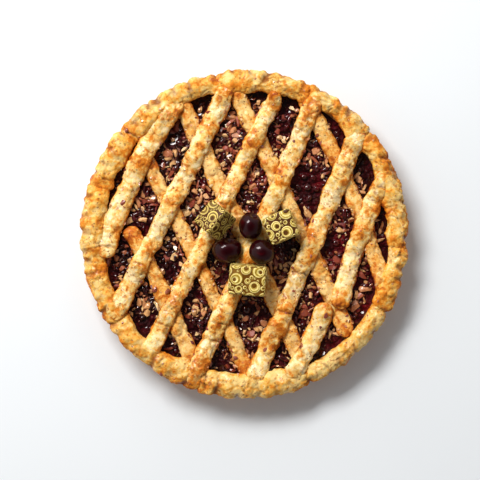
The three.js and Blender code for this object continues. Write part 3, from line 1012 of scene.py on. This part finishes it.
class Crowd:
    """Discs on the plan, kept in square cells so that near ones are found fast."""

    CELL = 8.0

    def __init__(self):
        self.cells = {}

    def cell(self, x, y):
        return math.floor(x / self.CELL), math.floor(y / self.CELL)

    def add(self, x, y, radius):
        self.cells.setdefault(self.cell(x, y), []).append((x, y, radius))

    def has_room(self, x, y, radius, apart):
        column, row = self.cell(x, y)
        cells = [(column + i, row + j) for i in (-1, 0, 1) for j in (-1, 0, 1)]
        near = (disc for cell in cells for disc in self.cells.get(cell, ()))
        return all(math.hypot(x - a, y - b) > apart * (radius + c) for a, b, c in near)


def build_nuts(flesh, skin, jam):
    """Chopped nuts in the jam: most bare, some coated with jam."""
    rng = random.Random(11)
    shards = {detail: [nut_shard(rng, detail, 4 + kind % 3) for kind in range(20)] for detail in (1, 2)}
    coated = [nut_shard(rng, 2, 0) for _ in range(8)]
    kinds = {name: nut_heap() for name in ("chopped_nuts", "nut_slivers", "nut_chips", "jam_coated_nuts")}
    crowd = Crowd()
    for x, y, radius in large_nut_places():
        stretch = (1.05 * radius, rng.uniform(0.6, 0.9) * radius, 0.75 * radius)
        covered = bare_spot(x, y) > 0.3 or rng.random() < SOLID_COATED_SHARE
        kind = "jam_coated_nuts" if covered else "chopped_nuts"
        scatter(kinds[kind], rng.choice(coated if covered else shards[2]), (x, y, JAM_TOP + 0.1 * radius),
                stretch, rng)
        crowd.add(x, y, 0.8 * radius)
    for px, py, radius, tone in NUTS_SEEN:
        x, y = from_pixel(px, py)
        stretch = (1.6 * radius, 1.1 * radius, 0.8 * radius)
        place = (x, y, JAM_TOP + jam_relief(x, y) + 0.4 * radius)
        scatter(kinds["chopped_nuts"], rng.choice(shards[2]), place, stretch, rng, tone=tone)
        crowd.add(x, y, radius)
    for sites, low, high, apart, detail in NUT_LAYERS:
        for x, y in spiral_sites(sites, CASE_WALL_INSIDE):
            x, y = x + rng.uniform(-1.6, 1.6), y + rng.uniform(-1.6, 1.6)
            draw, radius = rng.random(), rng.uniform(low, high)
            if draw > nut_density(x, y) or open_space(x, y) < -0.6:
                continue
            if not crowd.has_room(x, y, radius, apart):
                continue
            crowd.add(x, y, radius)
            sliver = rng.random() < SLIVER_SHARE
            length = rng.uniform(1.3, 1.9) if sliver else rng.uniform(0.9, 1.2)
            stretch = (length * radius, rng.uniform(0.5, 0.8) * radius, 0.6 * radius)
            place = (x, y, JAM_TOP + jam_relief(x, y) + rng.uniform(0.2, 0.7) * radius)
            kind = "nut_slivers" if sliver else ("chopped_nuts" if detail == 2 else "nut_chips")
            shard = rng.choice(shards[detail])
            if detail == 2 and rng.random() < COATED_SHARE:
                kind, shard = "jam_coated_nuts", rng.choice(coated)
            scatter(kinds[kind], shard, place, stretch, rng)
    for name in ("chopped_nuts", "nut_slivers", "nut_chips"):
        make_piece(name, kinds[name], [flesh, skin])
    make_piece("jam_coated_nuts", kinds["jam_coated_nuts"], [jam, jam])
    return shards


def highest_hit(surfaces, x, y):
    """Place and normal of the topmost dough at a plan point, or None."""
    hits = [surface.ray_cast(Vector((x, y, 60)), -UP)[:2] for surface in surfaces]
    return max((hit for hit in hits if hit[0]), key=lambda hit: hit[0].z, default=None)


def build_nuts_on_flanks(surfaces, shards, flesh, skin):
    """Nut pieces that lie against the sides of the rolls, where they meet the jam."""
    rng = random.Random(29)
    bm = nut_heap()
    crowd = Crowd()
    for x, y in spiral_sites(FLANK_NUTS, CASE_WALL_INSIDE - 4):
        x, y = x + rng.uniform(-1.5, 1.5), y + rng.uniform(-1.5, 1.5)
        draw, radius = rng.random(), rng.uniform(0.8, 2.1)
        if not -2.8 < open_space(x, y) < 0.2 or draw > 0.8 * nut_density(x, y):
            continue
        hit = highest_hit(surfaces, x, y)
        if hit is None or hit[0].z > JAM_TOP + 9 or not crowd.has_room(x, y, radius, 0.7):
            continue
        crowd.add(x, y, radius)
        stretch = (1.2 * radius, 0.75 * radius, 0.55 * radius)
        scatter(bm, rng.choice(shards[1 if radius < 1.3 else 2]), hit[0], stretch, rng, hit[1])
    make_piece("nuts_on_flanks", bm, [flesh, skin])


def build_nuts_in_dough(surfaces, shards, flesh, skin):
    """Nut pieces baked into the top of the dough."""
    rng = random.Random(23)
    bm = nut_heap()
    places = [(*from_pixel(px, py), radius, 2) for px, py, radius in NUTS_IN_DOUGH]
    for x, y in spiral_sites(SMALL_NUTS_IN_DOUGH, RIM_RADIUS + RIM_WIDTH / 2 - 2):
        places.append((x + rng.uniform(-3, 3), y + rng.uniform(-3, 3), rng.uniform(0.5, 1.1), 1))
    for x, y, radius, detail in places:
        hit = highest_hit(surfaces, x, y)
        if hit is None or (detail == 1 and rng.random() < 0.2):
            continue
        place, normal = hit
        if normal.z < 0.5:
            continue
        stretch = (1.3 * radius, 0.95 * radius, 0.6 * radius)
        tone = rng.uniform(0.66, 0.92) if detail == 2 else rng.uniform(0.25, 0.75)
        scatter(bm, rng.choice(shards[detail]), place, stretch, rng, normal, tone)
    make_piece("nuts_in_dough", bm, [flesh, skin])


# Toppings


def topping_centre(node):
    low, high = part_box(node)
    return (Vector(low) + Vector(high)) / 2 / MM


def build_cherry(name, cherry, skin):
    bm = bmesh.new()
    bmesh.ops.create_uvsphere(bm, u_segments=96, v_segments=64, radius=1.0)
    half = Vector(cherry["size"]) / 2
    centre = topping_centre(name)
    turn = Matrix.Rotation(math.radians(cherry["turn"]), 4, "Z")
    for vert in bm.verts:
        close = (vert.co - CHERRY_STEM).length_squared
        point = vert.co * (1 - CHERRY_DIMPLE * math.exp(-CHERRY_DIMPLE_SHARPNESS * close))
        point *= 1 + 0.025 * noise.noise(point * 1.6 + centre)
        vert.co = Vector((point.x * half.x, point.y * half.y, point.z * half.z))
    bmesh.ops.transform(bm, matrix=Matrix.Translation(centre) @ turn, verts=bm.verts)
    make_piece(f"{name}_fruit", bm, [skin], [name])


def chocolate_matrix(name, chocolate):
    turns = [Matrix.Rotation(math.radians(chocolate[key]), 4, axis)
             for key, axis in (("turn", "Z"), ("pitch", "Y"), ("lean", "X"))]
    return Matrix.Translation(topping_centre(name)) @ turns[0] @ turns[1] @ turns[2]


def build_chocolate(name, chocolate, brown):
    bm = bmesh.new()
    bmesh.ops.create_cube(bm, size=1.0)
    bmesh.ops.scale(bm, vec=chocolate["size"], verts=bm.verts)
    bmesh.ops.bevel(
        bm, geom=bm.edges[:], offset=CHOCOLATE_ROUNDING, offset_type="OFFSET", segments=6, profile=0.5,
        affect="EDGES", material=-1,
    )
    bmesh.ops.transform(bm, matrix=chocolate_matrix(name, chocolate), verts=bm.verts)
    make_piece(f"{name}_block", bm, [brown], [name])


# Printed discs: edges of their rings as shares of the radius, each ring pale (0) or olive (1)
DISC_STYLES = (
    ((1.0, 0.84, 0.66, 0.5, 0.3), (0, 1, 0, 1)),
    ((1.0, 0.86, 0.76, 0.56, 0.4), (0, 1, 0, 1)),
    ((1.0, 0.82, 0.48, 0.34, 0.2), (0, 1, 0, 1)),
    ((1.0, 0.9, 0.72, 0.5, 0.28), (1, 0, 1, 0)),
    ((1.0, 0.7, 0.36), (0, 1)),
)
DISC_LEAN = 0.5
RING_CORNERS = 36
PRINT_THICKNESS = 0.12


def packed_discs(width, depth, rng):
    """Discs that don't overlap, largest first: centre, radius and the way their rings lean."""
    discs = []
    for radius, tries in ((5.0, 60), (4.2, 260), (3.4, 420), (2.6, 420), (1.6, 420), (0.9, 420)):
        for _ in range(tries):
            grown = radius * rng.uniform(0.9, 1.08)
            x, y = rng.uniform(-0.5, 0.5) * (width + radius), rng.uniform(-0.5, 0.5) * (depth + radius)
            lean = rng.uniform(0, 2 * math.pi)
            if all(math.hypot(x - a, y - b) > grown + c + 0.2 for a, b, c, _ in discs):
                discs.append((x, y, grown, lean))
    return discs


def flat_disc(bm, x, y, radius, lean, style):
    """Rings between nested circles in the XY plane, whose centres lean further over the smaller they are."""
    shares, kinds = style
    loops = []
    for share in shares:
        shift = DISC_LEAN * radius * (1 - share)
        place = Matrix.Translation((x + shift * math.cos(lean), y + shift * math.sin(lean), 0))
        made = bmesh.ops.create_circle(bm, segments=RING_CORNERS, radius=radius * share, matrix=place)
        loops.append(list(dict.fromkeys(edge for vert in made["verts"] for edge in vert.link_edges)))
    for outer, inner, kind in zip(loops, loops[1:], kinds):
        for face in bmesh.ops.bridge_loops(bm, edges=outer + inner)["faces"]:
            face.material_index = kind


def wrap(point, half_u, half_v, half_n):
    """Bends a point of a flat print over a block's rounded edges."""
    rounding = CHOCOLATE_ROUNDING
    inner, tilt = [], []
    for value, half in ((point.x, half_u), (point.y, half_v)):
        flat = half - rounding
        inner.append(max(-flat, min(flat, value)))
        tilt.append(math.copysign(math.sin(min(math.pi / 2, max(0.0, abs(value) - flat) / rounding)), value))
    out = Vector((tilt[0], tilt[1], math.sqrt(max(0.0, 1 - tilt[0] ** 2 - tilt[1] ** 2)))).normalized()
    return Vector((inner[0], inner[1], half_n - rounding)) + out * (rounding + point.z)


def printed_side(half_u, half_v, rng):
    """Rings on one face of a block, laid flat and cut where the next face begins."""
    bm = bmesh.new()
    reach = CHOCOLATE_ROUNDING * (0.96 * math.pi / 4 - 1)
    for x, y, radius, lean in packed_discs(2 * half_u, 2 * half_v, rng):
        style = DISC_STYLES[-1] if radius < 2 else rng.choice(DISC_STYLES[:-1])
        flat_disc(bm, x, y, radius, lean, style)
    for axis, limit in ((Vector((1, 0, 0)), half_u + reach), (Vector((0, 1, 0)), half_v + reach)):
        for normal in (axis, -axis):
            cut_away(bm, normal * limit, normal)
    bmesh.ops.recalc_face_normals(bm, faces=bm.faces)
    for face in bm.faces:
        if face.normal.z < 0:
            face.normal_flip()
    raised = bmesh.ops.extrude_face_region(bm, geom=bm.faces[:])["geom"]
    for item in raised:
        if isinstance(item, bmesh.types.BMVert):
            item.co.z = PRINT_THICKNESS
    return bm


def build_print(name, chocolate, light, gold, seed):
    """Leaning rings on every face but the bottom."""
    rng = random.Random(seed)
    half = Vector(chocolate["size"]) / 2
    quarter = math.pi / 2
    sides = [(Matrix.Identity(4), half.x, half.y, half.z)]
    sides += [(Matrix.Rotation(turn, 4, "X"), half.x, half.z, half.y) for turn in (quarter, -quarter)]
    sides += [(Matrix.Rotation(turn, 4, "Y"), half.z, half.y, half.x) for turn in (quarter, -quarter)]
    whole = bmesh.new()
    for turn, half_u, half_v, half_n in sides:
        bm = printed_side(half_u, half_v, rng)
        for vert in bm.verts:
            vert.co = turn @ wrap(vert.co, half_u, half_v, half_n)
        mesh = mesh_from(bm, "print_side")
        whole.from_mesh(mesh)
        bpy.data.meshes.remove(mesh)
    bmesh.ops.recalc_face_normals(whole, faces=whole.faces)
    bmesh.ops.transform(whole, matrix=chocolate_matrix(name, chocolate), verts=whole.verts)
    make_piece(f"{name}_print", whole, [light, gold])


# Stage


def build_floor():
    material, shader = new_material("pale_floor")
    clouding = shader.noise(shader.object_point(), 3.0, 2.0)
    tone = shader.mix(clouding, colour(230, 236, 241), colour(238, 243, 248))
    shader.paint(Base_Color=tone, Roughness=0.7)
    bm = bmesh.new()
    bmesh.ops.create_grid(bm, x_segments=1, y_segments=1, size=FLOOR_REACH)
    floor = add_object("floor", mesh_from(bm, "floor"))
    floor.data.materials.append(material)


def build_lights():
    """A window-like lamp at the back left, and a sky that is dark overhead and darker at the front right."""
    lamp = bpy.data.lights.new("key", "AREA")
    lamp.shape = "RECTANGLE"
    lamp.size, lamp.size_y = KEY_SIZE
    lamp.energy = KEY_WATTS
    lamp.color = KEY_TINT
    key = add_object("key", lamp)
    key.location = KEY_DIRECTION.normalized() * KEY_DISTANCE
    key.rotation_euler = key.location.to_track_quat("Z", "Y").to_euler()
    world = bpy.data.worlds.new("studio")
    bpy.context.scene.world = world
    world.use_nodes = True
    shader = Shader(world.node_tree)
    sky = shader.add("ShaderNodeTexCoord", output="Generated")
    lamp_side = (*KEY_DIRECTION.xy.normalized(), 0)
    towards = shader.add("ShaderNodeVectorMath", {0: sky, 1: lamp_side}, "Value", operation="DOT_PRODUCT")
    around = shader.range(towards, -0.6, 0.8, *SKY_AROUND)
    overhead = shader.range(shader.height_of(sky), 0.6, 0.95, 1.0, SKY_OVERHEAD)
    background = world.node_tree.nodes["Background"]
    background.inputs["Color"].default_value = SKY_TINT
    shader.put(background.inputs["Strength"], shader.times(around, overhead))


def build_camera():
    """Straight above, with the torte's centre where the photograph has it."""
    frame_width = FRAME_PIXELS * PIXEL * MM
    lens = bpy.data.cameras.new("camera")
    lens.sensor_width = SENSOR
    lens.lens = SENSOR * CAMERA_DISTANCE / frame_width
    camera = add_object("camera", lens)
    middle = FRAME_PIXELS / 2
    x, y = from_pixel(middle, middle)
    camera.location = (x * MM, y * MM, CAMERA_DISTANCE + CASE_HEIGHT * MM)
    bpy.context.scene.camera = camera


# Doughs: pale, golden, amber and brown tones, then crackle, browning, egg wash and stain by the jam
DOUGHS = {
    "lattice_dough": (((249, 225, 170), (243, 196, 108), (220, 130, 26), (150, 62, 4)), 0.7, 0.0, 0.8, 0.7),
    "lower_lattice_dough": (
        ((246, 206, 132), (234, 172, 80), (206, 112, 22), (138, 56, 6)), 0.6, 0.0, 0.5, 0.7,
    ),
    "rim_dough": (((242, 206, 130), (238, 178, 76), (222, 130, 22), (160, 70, 6)), 0.9, 0.02, 0.5, 0.0),
    "case_dough": (((230, 174, 98), (216, 150, 72), (194, 120, 46), (158, 88, 28)), 1.2, 0.0, 0.1, 0.0),
}

# Dark and light tones of the chocolates, and worn and bright ones of their prints
BROWNS = {"dark_chocolate": ((74, 38, 3), (98, 58, 10)), "warm_chocolate": ((104, 64, 10), (140, 100, 34))}
PRINTS = {
    "pale_gold_print": ((230, 204, 104), (250, 230, 152)),
    "olive_gold_print": ((132, 104, 20), (178, 146, 46)),
    # Darker copies of the two prints, for the left chocolate: painted shade
    "shaded_pale_gold_print": ((200, 172, 70), (232, 206, 120)),
    "shaded_olive_gold_print": ((92, 64, 6), (124, 94, 20)),
}


def build_torte():
    grain = dough_grain_group()
    dough, lower_dough, rim_dough, case_dough = (
        dough_material(name, grain, *values) for name, values in DOUGHS.items()
    )
    jam = jam_material()
    flesh, skin = nut_flesh_material(), nut_skin_material()
    build_case(case_dough)
    build_jam(jam)
    shards = build_nuts(flesh, skin, jam)
    surfaces = build_rolls(dough, lower_dough, rim_dough)
    build_nuts_on_flanks(surfaces, shards, flesh, skin)
    build_nuts_in_dough(surfaces, shards, flesh, skin)
    for shard in shards[1] + shards[2]:
        bpy.data.meshes.remove(shard)
    dark_brown, warm_brown = (chocolate_material(name, *tones) for name, tones in BROWNS.items())
    light, gold, shaded_pale, shaded_olive = (print_material(name, *tones) for name, tones in PRINTS.items())
    for seed, (name, chocolate) in enumerate(CHOCOLATES.items(), 3):
        build_chocolate(name, chocolate, warm_brown if name == "chocolate_front" else dark_brown)
        # The left chocolate's print uses the darker copies, as painted shade
        pale, dark = (shaded_pale, shaded_olive) if chocolate.get("shaded_print") else (light, gold)
        build_print(name, chocolate, pale, dark, seed)
    fruit = cherry_material()
    for name, cherry in CHERRIES.items():
        build_cherry(name, cherry, fruit)


bpy.context.scene.view_settings.view_transform = "Standard"
build_torte()
build_floor()
build_lights()
build_camera()
